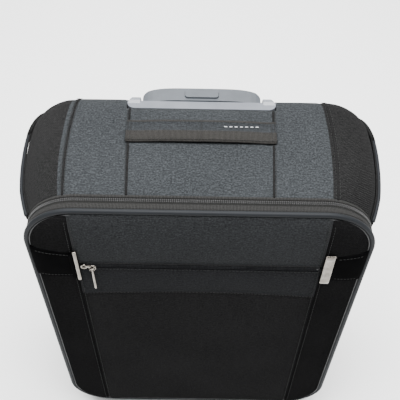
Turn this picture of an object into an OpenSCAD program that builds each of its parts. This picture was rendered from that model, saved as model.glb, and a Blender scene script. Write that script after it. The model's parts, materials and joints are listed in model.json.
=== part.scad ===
// Softside upright suitcase: a soft shell with a zipped front lid, a two-stage trolley
// handle, two wheels at the back and two feet at the front.
// +Z is up, -Y is the front, and the origin is on the floor under the middle of the case.

/* [Body] */
// Width of the shell where the main zipper runs
body_w = 388; // [360:1:420]
// Height of the shell's top above the floor, at the zipper
body_top = 538; // [500:1:600]
// Height of the shell's underside above the floor
body_bottom = 32; // [30:1:36]
// How far the sides bulge past the zipper edge, on each side
side_bulge = 18; // [12:1:20]
// Thickness of the padded fabric wall
wall = 4; // [3:0.5:5]
// Corner radius of the shell seen from the front
corner_r = 60; // [50:1:64]

/* [Trolley] */
// Distance from the middle of the case to each tube
tube_x = 60; // [56:1:62]
// Travel of each of the two tube stages
stage_travel = 220; // [150:5:240]
// Width of the grip
grip_w = 143; // [138:1:144]
// Width of the plastic housing around the grip
housing_w = 177; // [176:1:190]

/* [Wheels] */
// Outer radius of a wheel
wheel_r = 26; // [24:0.5:26]
// Width of a tyre
wheel_w = 22; // [18:1:24]

/* [Hidden] */

round_fn = 48;
soft_fn = 32;
gap = 0.3;
slice = 0.2;
big = 400;

half_w = body_w / 2;
zip_front_y = -86;
zip_split_y = -82.1;
shell_front_y = -78;
shell_back_y = 88;
lid_front_y = -100;
mid_z = (body_top + body_bottom) / 2;
lining_back_y = 61.3;

housing_top = 542;
floor_z = 496;
floor_t = 6;
tube_y = 76;
tube_bottom = 62;
outer_tube = [24, 14];
middle_tube = [21.2, 11.2];
upper_tube = [18.2, 8.2];
tube_wall = 1.1;

grip_y = [67, 88];
grip_z = [524, 533, 543];
button_size = [40, 14];
button_y = 77.5;
button_travel = 3;

wheel_x = 171;
wheel_y = 84;
axle_r = 4;
running = 0.05;
pod_x = [146, 210];
pod_y = [46, 104];
pod_z = [12, 100];

foot_x = 107;
foot_y = -35;

pocket_zip_z = 445;
lower_seam_z = 386;
strap_z = [418, 476];
pocket_slider_x = -123;
panel_front_y = -106;

// Cross-sections of the soft shell from the zipper to the back: [y, half width, bottom, top, radius]
shell_sections = [
    [shell_front_y, half_w, body_bottom, body_top, corner_r],
    [-62, half_w + side_bulge * 0.33, body_bottom, body_top + 2, corner_r + 1],
    [-40, half_w + side_bulge * 0.67, body_bottom, body_top + 4, corner_r + 2],
    [0, half_w + side_bulge * 0.94, body_bottom, body_top + 5, corner_r + 2],
    [45, half_w + side_bulge, body_bottom, body_top + 4, corner_r + 2],
    [66, half_w + side_bulge * 0.72, body_bottom + 2, body_top + 1, corner_r - 2],
    [80, half_w + side_bulge * 0.11, body_bottom + 8, body_top - 9, corner_r - 10],
    [shell_back_y - slice, half_w - side_bulge, body_bottom + 20, body_top - 31, corner_r - 24]];

// Front panel of the lid, crowned forwards
panel_sections = [
    [lid_front_y - slice, half_w - 4.5, body_bottom + 5, body_top - 5, corner_r - 6],
    [-102.5, half_w - 10, body_bottom + 11, body_top - 11, corner_r - 10],
    [-105.2, half_w - 29, body_bottom + 32, body_top - 32, corner_r - 18],
    [panel_front_y, half_w - 54, body_bottom + 58, body_top - 58, corner_r - 24]];

// ---------- shared shapes ----------

module round_rect(w, h, r) {
    square([w - 2 * r, h], center = true);
    square([w, h - 2 * r], center = true);
    for (sx = [-1, 1], sy = [-1, 1])
        translate([sx * (w / 2 - r), sy * (h / 2 - r)]) circle(r);
}

module stadium(size) {
    square([size[0] - size[1], size[1]], center = true);
    for (s = [-1, 1]) translate([s * (size[0] - size[1]) / 2, 0]) circle(size[1] / 2);
}

// A profile drawn in X and Z, given thickness from y0 to y1
module upright(y0, y1) {
    translate([0, y1, 0]) rotate([90, 0, 0]) linear_extrude(y1 - y0) children();
}

// A rounded plate facing front: half width, bottom, top and corner radius
module plate(y0, y1, half, zlo, zhi, r, fn = round_fn) {
    upright(y0, y1) translate([0, (zlo + zhi) / 2]) round_rect(2 * half, zhi - zlo, r, $fn = fn);
}

module ring(y0, y1, half, zlo, zhi, r, t) {
    difference() {
        plate(y0, y1, half, zlo, zhi, r);
        plate(y0 - 1, y1 + 1, half - t, zlo + t, zhi - t, r - t);
    }
}

module soft_body(sections) {
    hull() for (s = sections) plate(s[0], s[0] + slice, s[1], s[2], s[3], s[4], soft_fn);
}

function inset(sections, d) = [for (s = sections)
    [s[0] > 50 ? s[0] - d : s[0], s[1] - d, s[2] + d, s[3] - d, s[4] - d]];

function opened(sections, y) = concat([[y, sections[0][1], sections[0][2], sections[0][3],
    sections[0][4]]], sections);

function lining_sections(d, back_y) = concat(
    inset([for (s = shell_sections) if (s[0] < 50) s], d),
    [[back_y - slice, half_w + side_bulge - d - 10, body_bottom + d + 6, body_top - d - 2,
        corner_r - d]]);

module rod_x(x0, x1, r) {
    translate([x0, 0, 0]) rotate([0, 90, 0]) cylinder(h = x1 - x0, r = r, $fn = round_fn);
}

module rod_y(y0, y1, r) {
    translate([0, y1, 0]) rotate([90, 0, 0]) cylinder(h = y1 - y0, r = r, $fn = round_fn);
}

module tube(size, z0, z1) {
    translate([0, 0, z0]) linear_extrude(z1 - z0) difference() {
        stadium(size, $fn = round_fn);
        stadium([size[0] - 2 * tube_wall, size[1] - 2 * tube_wall], $fn = round_fn);
    }
}

module at_tubes() {
    for (s = [-1, 1]) translate([s * tube_x, tube_y, 0]) children();
}

// ---------- shell ----------

module pod_envelope(extra) {
    for (s = [0, 1]) mirror([s, 0, 0])
        translate([pod_x[0] - extra, pod_y[0] - extra, -1])
            cube([big, big, pod_z[1] + extra + 1]);
}

module housing_envelope() {
    w = housing_w + 2 * gap;
    translate([-w / 2, 62 - gap, floor_z - 2]) cube([w, big, big]);
    translate([-w / 2, 54 - gap, 535]) cube([w, 20, big]);
}

module shell_screw_holes() {
    screw_places() rod_y(70, 100, 2.3);
    foot_screw_places() cylinder(h = 40, r = 2.3, $fn = round_fn);
}

module shell_fabric() {
    color("dimgray") difference() {
        soft_body(shell_sections);
        soft_body(opened(inset(shell_sections, wall), shell_front_y - 2));
        housing_envelope();
        pod_envelope(gap);
        shell_screw_holes();
    }
}

module lining() {
    d = wall + 3.6;
    color("slategray") difference() {
        intersection() {
            soft_body(lining_sections(d, lining_back_y));
            translate([-big / 2, -70, 0]) cube([big, big, big * 2]);
        }
        soft_body(opened(lining_sections(d + 1, lining_back_y - 1), shell_front_y - 2));
        pod_envelope(gap);
    }
}

module back_board() {
    color("gainsboro") plate(62.6, 65.6, 143, 60, 496, 30);
}

module base_board() {
    color("gainsboro") difference() {
        translate([-125, -66, body_bottom + wall + 0.2]) cube([250, 106, 2.6]);
        foot_screw_places() cylinder(h = 40, r = 2.1, $fn = round_fn);
    }
}

module front_hoop() {
    d = wall + gap;
    color("silver") ring(-77, -71.5, half_w - d, body_bottom + d, body_top - d, corner_r - d, 3);
}

module shell_zip_tape() {
    color("black") ring(zip_split_y + 0.2, shell_front_y - 0.2, half_w + 0.5,
        body_bottom - 0.5, body_top + 0.5, corner_r, 3);
}

// A point just outside the rounded top corner of a shell section
function corner_point(s, out) = [s[1] - s[4] + (s[4] + out) * sin(72), s[0],
    s[3] - s[4] + (s[4] + out) * cos(72)];

module corner_run(sections, r) {
    for (side = [0, 1]) mirror([side, 0, 0])
        for (i = [0 : len(sections) - 2]) hull() {
            translate(corner_point(sections[i], r + 0.6)) sphere(r, $fn = 12);
            translate(corner_point(sections[i + 1], r + 0.6)) sphere(r, $fn = 12);
        }
}

module corner_piping() {
    start = [for (s = shell_sections) if (s[0] < 46) s];
    color("darkslategray") corner_run(concat([concat([-74], [start[0][1] + 2], [body_bottom],
        [body_top], [corner_r])], [for (i = [1 : len(start) - 1]) start[i]]), 2.5);
}

module rear_corner_tabs() {
    tabs = [for (s = shell_sections) if (s[0] > 44 && s[0] < 81) s];
    color("dimgray") corner_run(concat([[51.4, tabs[0][1] - 0.4, tabs[0][2], tabs[0][3] - 0.4,
        tabs[0][4]]], [for (i = [1 : len(tabs) - 1]) tabs[i]]), 3);
}

// ---------- trolley housing and tubes ----------

module screw_places() {
    for (s = [-1, 1], z = [446, 484]) translate([s * 74, 0, z]) children();
}

module cheek_profile() {
    polygon([[62, floor_z], [92, floor_z], [92, 508], [88, 518], [81, 529], [75, 538],
        [71, housing_top + 1], [66, housing_top + 1.6], [62, housing_top]]);
}

// The lip in front of the recess, with rounded front corners
module lip_plan() {
    r = 9;
    w = housing_w;
    intersection() {
        union() {
            translate([-w / 2 + r, 54]) square([w - 2 * r, 12]);
            translate([-w / 2, 54 + r]) square([w, 12 - r]);
            for (s = [-1, 1]) translate([s * (w / 2 - r), 54 + r]) circle(r, $fn = round_fn);
        }
        translate([-w / 2, 54]) square([w, 12]);
    }
}

// Plan of a horn that rises from the lip's end and narrows towards the back
module horn_plan() {
    inner = grip_w / 2 + 2;
    outer = housing_w / 2;
    polygon([[inner, 54], [outer, 54], [outer, 61], [outer - 3, 68], [outer - 8, 75],
        [inner + 3, 79], [inner, 80]]);
}

module handle_housing() {
    w = housing_w;
    cheek = (w - grip_w) / 2 - 2;
    color("lightslategray") difference() {
        union() {
            translate([0, 0, 535 + gap]) linear_extrude(housing_top - 535 - gap) lip_plan();
            translate([-w / 2, 62, floor_z]) cube([w, 4, housing_top - floor_z]);
            translate([-w / 2, 62, floor_z]) cube([w, 30, floor_t]);
            upright(shell_back_y + gap, 93) translate([0, 465.9])
                round_rect(w, 72.2, 8, $fn = round_fn);
            for (s = [0, 1]) mirror([s, 0, 0]) intersection() {
                translate([w / 2 - cheek, 0, 0]) rotate([90, 0, 90]) linear_extrude(cheek)
                    cheek_profile();
                union() {
                    translate([0, 54, floor_z]) cube([w / 2, 40, 525 - floor_z]);
                    translate([0, 0, 524]) linear_extrude(30) horn_plan();
                }
            }
        }
        at_tubes() translate([0, 0, floor_z - 1]) linear_extrude(floor_t + 2)
            stadium([middle_tube[0] + 0.6, middle_tube[1] + 0.6], $fn = round_fn);
        screw_places() rod_y(80, 100, 2.1);
    }
}

module housing_screws() {
    color("silver") screw_places() {
        rod_y(84.5, 93, 2);
        rod_y(93, 94.6, 3.6);
    }
}

module outer_tube_side(s) {
    color("silver") translate([s * tube_x, tube_y, 0]) tube(outer_tube, tube_bottom, floor_z - gap);
}

module tube_bracket() {
    color("dimgray") difference() {
        translate([-78, 66.6, 58]) cube([156, 17, 18]);
        at_tubes() translate([0, 0, tube_bottom - 0.2]) linear_extrude(30)
            stadium([outer_tube[0] + 0.4, outer_tube[1] + 0.4], $fn = round_fn);
    }
}

middle_top = 511.4;
boss_bottom = 513.7;

module middle_tubes() {
    color("silver") at_tubes() tube(middle_tube, 80, middle_top);
}

module tube_collars() {
    z0 = floor_z + floor_t + 0.4;
    color("dimgray") at_tubes() difference() {
        translate([0, 0, z0]) linear_extrude(boss_bottom - 0.5 - z0)
            stadium([27, 17], $fn = round_fn);
        translate([0, 0, z0 - 1]) linear_extrude(middle_top + 0.2 - z0 + 1)
            stadium([middle_tube[0] + 0.1, middle_tube[1] + 0.1], $fn = round_fn);
        translate([0, 0, z0]) linear_extrude(20)
            stadium([upper_tube[0] + 0.6, upper_tube[1] + 0.6], $fn = round_fn);
    }
}

module upper_tubes() {
    color("silver") at_tubes() tube(upper_tube, 98, grip_z[0] + 4);
}

module grip_plan(d = 0) {
    translate([0, (grip_y[0] + grip_y[1]) / 2])
        round_rect(grip_w - 2 * d, grip_y[1] - grip_y[0] - 2 * d, 8 - d, $fn = round_fn);
}

module grip_lower() {
    color("slategray") difference() {
        union() {
            translate([0, 0, grip_z[0]]) linear_extrude(grip_z[1] - grip_z[0]) grip_plan();
            at_tubes() translate([0, 0, boss_bottom]) linear_extrude(11)
                stadium([26, 16], $fn = round_fn);
        }
        translate([0, 0, grip_z[0] + 3]) linear_extrude(20) grip_plan(2.5);
        at_tubes() translate([0, 0, 510]) linear_extrude(30)
            stadium([upper_tube[0] + 0.1, upper_tube[1] + 0.1], $fn = round_fn);
    }
}

// Height of the arched top of the grip at a distance x from its middle
function grip_arch(x) = grip_z[1] + 0.2 + (grip_z[2] - grip_z[1] - 0.2)
    * (1 - pow(abs(x) / (grip_w / 2 + 1), 5));

module grip_upper() {
    half = grip_w / 2;
    steps = 12;
    color("slategray") difference() {
        intersection() {
            translate([0, 0, grip_z[1] + 0.2]) linear_extrude(20) grip_plan();
            upright(grip_y[0], grip_y[1]) polygon(concat(
                [[-half, grip_z[1]], [half, grip_z[1]]],
                [for (i = [steps : -1 : -steps]) [half * i / steps, grip_arch(half * i / steps)]]));
        }
        translate([0, 0, grip_z[1] - 1]) linear_extrude(3.3) grip_plan(5.5);
        translate([0, button_y, grip_z[1] - 1]) linear_extrude(30)
            round_rect(button_size[0] + 0.6, button_size[1] + 0.6, 4, $fn = round_fn);
    }
}

module release_button() {
    color("lightslategray") {
        translate([0, button_y, 538]) linear_extrude(7.5)
            round_rect(button_size[0], button_size[1], 3.7, $fn = round_fn);
        translate([-10, tube_y - 3, 534.5]) cube([20, 6, 3.5]);
        translate([-63, tube_y - 2, 531.5]) cube([126, 4, 3]);
    }
}

module release_rods() {
    color("silver") at_tubes() translate([0, 0, 120]) cylinder(h = 411.4, r = 1.8, $fn = round_fn);
}

module button_springs() {
    color("silver") for (s = [-1, 1]) translate([s * 30, tube_y, grip_z[0] + 3.05])
        cylinder(h = 4.4, r = 2.5, $fn = round_fn);
}

// ---------- wheels and feet ----------

// Outer shape of a pod: rounded where the soft corner of the case would be
module pod_shape() {
    w = pod_x[1] - pod_x[0];
    d = pod_y[1] - pod_y[0];
    h = pod_z[1] - pod_z[0];
    r = 30;
    intersection() {
        translate([pod_x[0], (pod_y[0] + pod_y[1]) / 2, (pod_z[0] + pod_z[1]) / 2])
            rotate([90, 0, 90]) linear_extrude(w) round_rect(d, h, 10, $fn = round_fn);
        upright(0, 200) translate([pod_x[1] - w, pod_z[0] + h]) {
            translate([w / 2 - 20, -h / 2]) square([w + 40 - 2 * r, h], center = true);
            translate([w / 2 - 20, -h / 2 + r / 2]) square([w + 40, h - r], center = true);
            translate([w - r, -h + r]) circle(r, $fn = round_fn);
        }
        translate([pod_x[0], pod_y[0], 0]) linear_extrude(200) {
            square([w - r, d]);
            square([w, d - r]);
            translate([w - r, d - r]) circle(r, $fn = round_fn);
        }
    }
}

module pod_side(s) {
    color("dimgray") mirror([s < 0 ? 1 : 0, 0, 0]) difference() {
        pod_shape();
        translate([0, wheel_y, wheel_r]) rod_x(wheel_x - wheel_w / 2 - 3, wheel_x + wheel_w / 2 + 3,
            wheel_r + 3.5);
        translate([wheel_x - wheel_w / 2 - 3, wheel_y, 0]) cube([wheel_w + 6, 60, wheel_r]);
        translate([0, wheel_y, wheel_r]) rod_x(149, 193.2, axle_r + 0.02);
    }
}

module axle_side(s) {
    color("silver") mirror([s < 0 ? 1 : 0, 0, 0]) translate([0, wheel_y, wheel_r])
        rod_x(149.1, 193, axle_r);
}

module at_wheel(s) {
    mirror([s < 0 ? 1 : 0, 0, 0]) translate([wheel_x, wheel_y, wheel_r]) children();
}

module wheel_tyre(s) {
    color("black") at_wheel(s) rotate([0, 90, 0]) rotate_extrude($fn = 96) {
        translate([wheel_r - 8, -wheel_w / 2 + 2]) square([6, wheel_w - 4]);
        translate([wheel_r - 8, -wheel_w / 2]) square([6, wheel_w]);
        translate([wheel_r - 3, -wheel_w / 2 + 2]) square([3, wheel_w - 4]);
        for (k = [-1, 1]) translate([wheel_r - 2, k * (wheel_w / 2 - 2)]) circle(2, $fn = round_fn);
    }
}

module wheel_hub(s) {
    hub_r = wheel_r - 8.05;
    color("gray") at_wheel(s) difference() {
        rod_x(-wheel_w / 2 + 1.5, wheel_w / 2 - 1.5, hub_r);
        rod_x(-wheel_w, wheel_w, 8.05);
        for (k = [-1, 1], a = [0 : 72 : 288]) rotate([a, 0, 0]) translate([0, 0, 13])
            rod_x(k < 0 ? -wheel_w : 3, k < 0 ? -3 : wheel_w, 2.8);
    }
}

module wheel_bearings(s) {
    color("silver") at_wheel(s) for (x = [-wheel_w / 2 + 1.5, wheel_w / 2 - 6.5]) difference() {
        rod_x(x, x + 5, 8);
        rod_x(-wheel_w, wheel_w, axle_r + running);
    }
}

module foot_screw_places() {
    for (s = [-1, 1], k = [-1, 1]) translate([s * foot_x + k * 8, foot_y, 0]) children();
}

module foot_side(s) {
    color("dimgray") difference() {
        union() {
            translate([s * foot_x, foot_y, 0]) linear_extrude(4)
                round_rect(30, 22, 5, $fn = round_fn);
            translate([s * foot_x, foot_y, 4]) linear_extrude(body_bottom - 4.2)
                round_rect(34, 26, 6, $fn = round_fn);
        }
        foot_screw_places() cylinder(h = 14, r = 4.2, $fn = round_fn);
        foot_screw_places() cylinder(h = 40, r = 2.1, $fn = round_fn);
    }
}

module foot_screws() {
    color("silver") foot_screw_places() {
        translate([0, 0, 14]) mirror([0, 0, 1]) cylinder(h = 2.4, r = 3.8, $fn = round_fn);
        translate([0, 0, 14]) cylinder(h = 25, r = 2, $fn = round_fn);
    }
}

module kick_plate() {
    color("dimgray") {
        plate(shell_back_y + gap, 91, 136, 62, 128, 10);
        for (s = [-1, 1]) translate([s * 96, 91, 66]) cube([12, 5, 58]);
    }
}

// ---------- inside ----------

module packing_straps() {
    color("black") for (s = [0, 1]) mirror([s, 0, 0])
        translate([22.2, 58.4, 272]) cube([150, 1.6, 26]);
}

module packing_buckle() {
    color("black") translate([-22, 53.6, 267]) cube([44, 6.4, 36]);
}

// ---------- carry handles ----------

module top_handle() {
    color("dimgray") translate([-60, -4, body_top + 6]) cube([120, 34, 6]);
}

module top_handle_ends() {
    color("dimgray") for (s = [0, 1]) mirror([s, 0, 0])
        translate([60.6, -3, body_top + 5.6]) cube([25, 32, 4]);
}

module side_handle() {
    color("dimgray") translate([-half_w - side_bulge - 6.6, -12, 215]) cube([6, 34, 140]);
}

module side_handle_ends() {
    color("dimgray") for (z = [190, 355.6])
        translate([-half_w - side_bulge - 4.6, -11, z]) cube([4, 32, 24.4]);
}

// ---------- lid ----------

module lid_board() {
    color("gainsboro") plate(-99.6, -96.4, half_w - 4, body_bottom + 4.5, body_top - 4.5,
        corner_r - 6);
}

module lid_lining() {
    color("slategray") plate(-96.2, -95.2, half_w - 5, body_bottom + 5.5, body_top - 5.5,
        corner_r - 7);
}

module lid_hoop() {
    color("silver") ring(-94, -88, half_w - 3.3, body_bottom + 3.3, body_top - 3.3,
        corner_r - 3.3, 3);
}

module lid_mesh_pocket() {
    color("black") plate(-95, -93.6, 165, 60, 330, 20);
}

module lid_gusset() {
    color("dimgray") ring(-94, zip_front_y - 0.2, half_w, body_bottom, body_top, corner_r, 3);
}

module lid_piping() {
    color("darkslategray") ring(lid_front_y, -94.2, half_w + 2.5, body_bottom - 2, body_top + 2.5,
        corner_r, 6);
}

module lid_zip_tape() {
    color("black") ring(zip_front_y, zip_split_y - 0.2, half_w + 0.5, body_bottom - 0.5,
        body_top + 0.5, corner_r, 3);
}

module panel_slab(z0, z1) {
    intersection() {
        soft_body(panel_sections);
        translate([-big / 2, -120, z0]) cube([big, 40, z1 - z0]);
    }
}

module front_upper_panel() {
    color("dimgray") panel_slab(pocket_zip_z + 1.4, 600);
}

module front_middle_panel() {
    color("darkslategray") panel_slab(lower_seam_z + 0.3, pocket_zip_z - 1.4);
}

module front_lower_panel() {
    color("black") panel_slab(0, lower_seam_z - 0.3);
}

module pocket_zip_tape() {
    color("black") translate([-131, -105, pocket_zip_z - 1.2]) cube([270, 3, 2.4]);
}

module strap_tabs() {
    inner = [for (p = panel_sections) [p[1], p[0] - 0.4]];
    outer = [for (i = [3 : -1 : 0]) [inner[i][0] + (i == 3 ? 0 : 0.6), inner[i][1] - 1.6]];
    color("black") for (s = [0, 1]) mirror([s, 0, 0]) intersection() {
        translate([0, 0, strap_z[0] - 5]) linear_extrude(70) polygon(concat(inner, outer));
        upright(-120, -90) polygon([[s == 0 ? 154.3 : 142.8, strap_z[0] + 6],
            [half_w, strap_z[0]], [half_w, strap_z[1]],
            [s == 0 ? 154.3 : 142.8, strap_z[1] - 6]]);
    }
}

module strap_metal() {
    mid = (strap_z[0] + strap_z[1]) / 2;
    color("silver") upright(-109.6, panel_front_y - 0.2) {
        translate([-140, mid]) round_rect(5, 58, 2.4, $fn = round_fn);
        translate([148, mid]) round_rect(12, 58, 1.5, $fn = round_fn);
    }
}

// ---------- sliders and pullers ----------

pin_out = 3.3;
eye_r = 1.9;

// A zip slider lying flat: length along X, its pin along Z, standing out along +Y
module flat_slider(len, wide, off) {
    translate([-len / 2, 0, -wide / 2]) cube([len, 1.2, wide]);
    translate([0, 0, off]) {
        for (k = [-1, 1]) translate([-1.6, 1.2, k * 2.55 - 0.4]) cube([3.2, pin_out - 0.1, 0.8]);
        translate([0, pin_out, -2.3]) cylinder(h = 4.6, r = 0.7, $fn = round_fn);
    }
}

// A puller hanging from the same pin along -X
module flat_puller(len, off) {
    translate([0, pin_out, off]) difference() {
        union() {
            translate([0, 0, -1.7]) cylinder(h = 3.4, r = eye_r, $fn = round_fn);
            translate([-len, -0.9, -1.7]) cube([len, 1.8, 3.4]);
        }
        translate([0, 0, -3]) cylinder(h = 6, r = 1.05, $fn = round_fn);
    }
}

module pocket_place() {
    translate([pocket_slider_x, panel_front_y - 0.3, pocket_zip_z - 3]) rotate([0, 90, 180])
        children();
}

module pocket_slider() {
    color("silver") pocket_place() flat_slider(9, 13, 0);
}

module pocket_puller() {
    color("silver") pocket_place() mirror([1, 0, 0]) flat_puller(42, 0);
}

side_slider_z = [393, 378];
pin_shift = 2.8;

// Places a slider on the right side: its length along Z and its pin standing out along +X
module side_place(i) {
    translate([half_w + 0.8, zip_split_y, side_slider_z[i]]) rotate([-90, 0, 0])
        rotate([0, 0, -90]) children();
}

module side_slider(i) {
    color("silver") side_place(i) flat_slider(13, 12, i == 0 ? -pin_shift : pin_shift);
}

module side_puller(i) {
    color("silver") side_place(i) flat_puller(30, i == 0 ? -pin_shift : pin_shift);
}

shell_fabric();
lining();
back_board();
base_board();
front_hoop();
shell_zip_tape();
corner_piping();
rear_corner_tabs();
handle_housing();
housing_screws();
outer_tube_side(-1);  // outer_tube_left
outer_tube_side(1);  // outer_tube_right
tube_bracket();
kick_plate();
pod_side(-1);  // wheel_pod_left
pod_side(1);  // wheel_pod_right
axle_side(-1);  // axle_left
axle_side(1);  // axle_right
foot_side(-1);  // foot_left
foot_side(1);  // foot_right
foot_screws();
packing_straps();
packing_buckle();
top_handle_ends();
side_handle_ends();
wheel_tyre(-1);  // wheel_tyre_left
wheel_tyre(1);  // wheel_tyre_right
wheel_hub(-1);  // wheel_hub_left
wheel_hub(1);  // wheel_hub_right
wheel_bearings(-1);  // wheel_bearings_left
wheel_bearings(1);  // wheel_bearings_right
middle_tubes();
tube_collars();
upper_tubes();
grip_lower();
grip_upper();
button_springs();
release_button();
release_rods();
top_handle();
side_handle();
lid_board();
lid_lining();
lid_hoop();
lid_mesh_pocket();
lid_gusset();
lid_piping();
lid_zip_tape();
front_upper_panel();
front_middle_panel();
front_lower_panel();
pocket_zip_tape();
strap_tabs();
strap_metal();
pocket_slider();
pocket_puller();
side_slider(0);  // main_slider_upper
side_slider(1);  // main_slider_lower
side_puller(0);  // main_puller_upper
side_puller(1);  // main_puller_lower
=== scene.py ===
"""The looks of a softside upright suitcase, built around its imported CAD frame. All lengths are in metres."""

import json
import math

import bmesh
import bpy
import numpy as np
from mathutils import Matrix, Vector, noise


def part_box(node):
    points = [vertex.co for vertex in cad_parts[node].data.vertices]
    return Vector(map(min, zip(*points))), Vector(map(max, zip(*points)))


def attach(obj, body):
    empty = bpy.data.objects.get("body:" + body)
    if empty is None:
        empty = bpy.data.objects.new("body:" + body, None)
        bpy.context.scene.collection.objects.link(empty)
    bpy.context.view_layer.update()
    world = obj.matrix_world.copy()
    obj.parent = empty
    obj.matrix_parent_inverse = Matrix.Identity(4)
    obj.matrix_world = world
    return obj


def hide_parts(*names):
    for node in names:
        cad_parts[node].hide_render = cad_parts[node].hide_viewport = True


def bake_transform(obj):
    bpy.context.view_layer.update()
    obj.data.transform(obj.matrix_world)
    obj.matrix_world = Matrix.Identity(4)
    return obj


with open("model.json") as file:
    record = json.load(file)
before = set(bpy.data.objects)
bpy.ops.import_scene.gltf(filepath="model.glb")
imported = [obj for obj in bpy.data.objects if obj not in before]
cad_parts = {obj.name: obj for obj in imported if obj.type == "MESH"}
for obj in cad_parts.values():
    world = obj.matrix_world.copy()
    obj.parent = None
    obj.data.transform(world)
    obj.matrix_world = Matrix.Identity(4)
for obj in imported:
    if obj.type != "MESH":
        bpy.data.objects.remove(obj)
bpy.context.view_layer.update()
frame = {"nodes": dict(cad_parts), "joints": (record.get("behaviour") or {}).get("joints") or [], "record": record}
nodes = frame["nodes"]
MM = 0.001

# ---------------------------------------------------------------- driving dimensions

ZIP_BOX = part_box("shell_zip_tape")
HALF_W = ZIP_BOX[1].x - 0.5 * MM
LOW = ZIP_BOX[0].z + 0.5 * MM
HIGH = ZIP_BOX[1].z - 0.5 * MM
CORNER = 60 * MM
BULGE = 18 * MM
FRONT_Y = -78 * MM
BACK_Y = 88 * MM
LID_FRONT_Y = -100 * MM
PANEL_Y = -106 * MM
CENTRE_SEAM = 85 * MM
CORNER_SEAM = 152 * MM
STRIP_SEAM = 142 * MM
POCKET_Z = 445 * MM
LOWER_SEAM_Z = 386 * MM
WALL = 4 * MM
FRONT = (0, -1, 0)
PLAIN_STITCH = (2.8 * MM, 0.5 * MM, 0.5 * MM)
PANEL_STITCH = (3 * MM, 0.55 * MM, 0.6 * MM)
PANEL_STITCH_PITCH = 4.2 * MM

# Outline of the shell from front to back: y, half width, low, high, corner radius
SHELL_SECTIONS = [
    (FRONT_Y, HALF_W, LOW, HIGH, CORNER),
    (-62 * MM, HALF_W + BULGE * 0.33, LOW, HIGH + 2 * MM, CORNER + 1 * MM),
    (-40 * MM, HALF_W + BULGE * 0.67, LOW, HIGH + 4 * MM, CORNER + 2 * MM),
    (0.0, HALF_W + BULGE * 0.94, LOW, HIGH + 5 * MM, CORNER + 2 * MM),
    (45 * MM, HALF_W + BULGE, LOW, HIGH + 4 * MM, CORNER + 2 * MM),
    (66 * MM, HALF_W + BULGE * 0.72, LOW + 2 * MM, HIGH + 1 * MM, CORNER - 2 * MM),
    (80 * MM, HALF_W + BULGE * 0.11, LOW + 8 * MM, HIGH - 9 * MM, CORNER - 10 * MM),
    (BACK_Y, HALF_W - BULGE, LOW + 20 * MM, HIGH - 31 * MM, CORNER - 24 * MM),
]
# How steeply the last section's half width, low, high and corner radius turn in at the back
END_SLOPES = (-0.045, 0.045, -0.045, -0.02)

# Where the trolley housing's back and top notches start in the shell, and how far the cuts reach
HOUSING_BACK_Y = 61.7 * MM
HOUSING_BACK_Z = 494 * MM
HOUSING_TOP_Y = 53.7 * MM
HOUSING_TOP_Z = 535 * MM
CUT_REACH = 0.3


# ---------------------------------------------------------------- materials

class Look:
    """A procedural material: one Principled shader and the texture nodes that feed it."""

    def __init__(self, name, roughness=0.6, **sockets):
        self.material = bpy.data.materials.new(name)
        self.material.use_nodes = True
        self.tree = self.material.node_tree
        self.shader = self.tree.nodes["Principled BSDF"]
        self.shader.inputs["Roughness"].default_value = roughness
        for socket, value in sockets.items():
            self.shader.inputs[socket.replace("_", " ")].default_value = value

    def add(self, kind, inputs=None, **settings):
        node = self.tree.nodes.new(kind)
        for key, value in settings.items():
            setattr(node, key, value)
        for key, value in (inputs or {}).items():
            if isinstance(value, bpy.types.NodeSocket):
                self.tree.links.new(value, node.inputs[key])
            else:
                node.inputs[key].default_value = value
        return node

    def place(self, scale, space="Object", turn=0.0):
        """Texture coordinates in metres, times a scale on each axis."""
        source = self.add("ShaderNodeTexCoord").outputs[space]
        mapping = self.add("ShaderNodeMapping", {"Vector": source, "Scale": scale,
                                                 "Rotation": (0, 0, turn)})
        return mapping.outputs["Vector"]

    def noise(self, where, scale=1.0, detail=2.0, rough=0.5):
        return self.add("ShaderNodeTexNoise", {"Vector": where, "Scale": scale, "Detail": detail,
                                               "Roughness": rough}).outputs["Fac"]

    def wave(self, where, direction="X"):
        """Smooth stripes, one for each unit along the direction."""
        wave = self.add("ShaderNodeTexWave", {"Vector": where, "Scale": 1 / math.pi * 1.57},
                        bands_direction=direction)
        return wave.outputs["Fac"]

    def math(self, operation, a, b=0.5):
        return self.add("ShaderNodeMath", {0: a, 1: b}, operation=operation).outputs[0]

    def ramp(self, fac, stops):
        """A colour ramp through (position, colour) stops."""
        ramp = self.add("ShaderNodeValToRGB", {"Fac": fac})
        elements = ramp.color_ramp.elements
        while len(elements) < len(stops):
            elements.new(0.5)
        for element, (position, colour) in zip(elements, stops):
            element.position = position
            element.color = (*colour, 1)
        return ramp.outputs["Color"]

    def mix(self, fac, a, b):
        node = self.add("ShaderNodeMix", data_type="RGBA", blend_type="MIX")
        for socket, value in ((node.inputs[0], fac), (node.inputs[6], a), (node.inputs[7], b)):
            if isinstance(value, bpy.types.NodeSocket):
                self.tree.links.new(value, socket)
            elif isinstance(value, tuple):
                socket.default_value = (*value, 1)
            else:
                socket.default_value = value
        return node.outputs[2]

    def colour(self, value):
        if isinstance(value, tuple):
            self.shader.inputs["Base Color"].default_value = (*value, 1)
        else:
            self.tree.links.new(value, self.shader.inputs["Base Color"])

    def rough(self, fac, low, high):
        spread = self.add("ShaderNodeMapRange", {"Value": fac, "To Min": low, "To Max": high})
        self.tree.links.new(spread.outputs["Result"], self.shader.inputs["Roughness"])

    def bump(self, height, distance, strength=1.0):
        """Adds relief of a given depth in metres on top of what is there."""
        inputs = {"Height": height, "Distance": distance, "Strength": strength}
        links = self.shader.inputs["Normal"].links
        if links:
            inputs["Normal"] = links[0].from_socket
        node = self.add("ShaderNodeBump", inputs)
        self.tree.links.new(node.outputs["Normal"], self.shader.inputs["Normal"])


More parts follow.
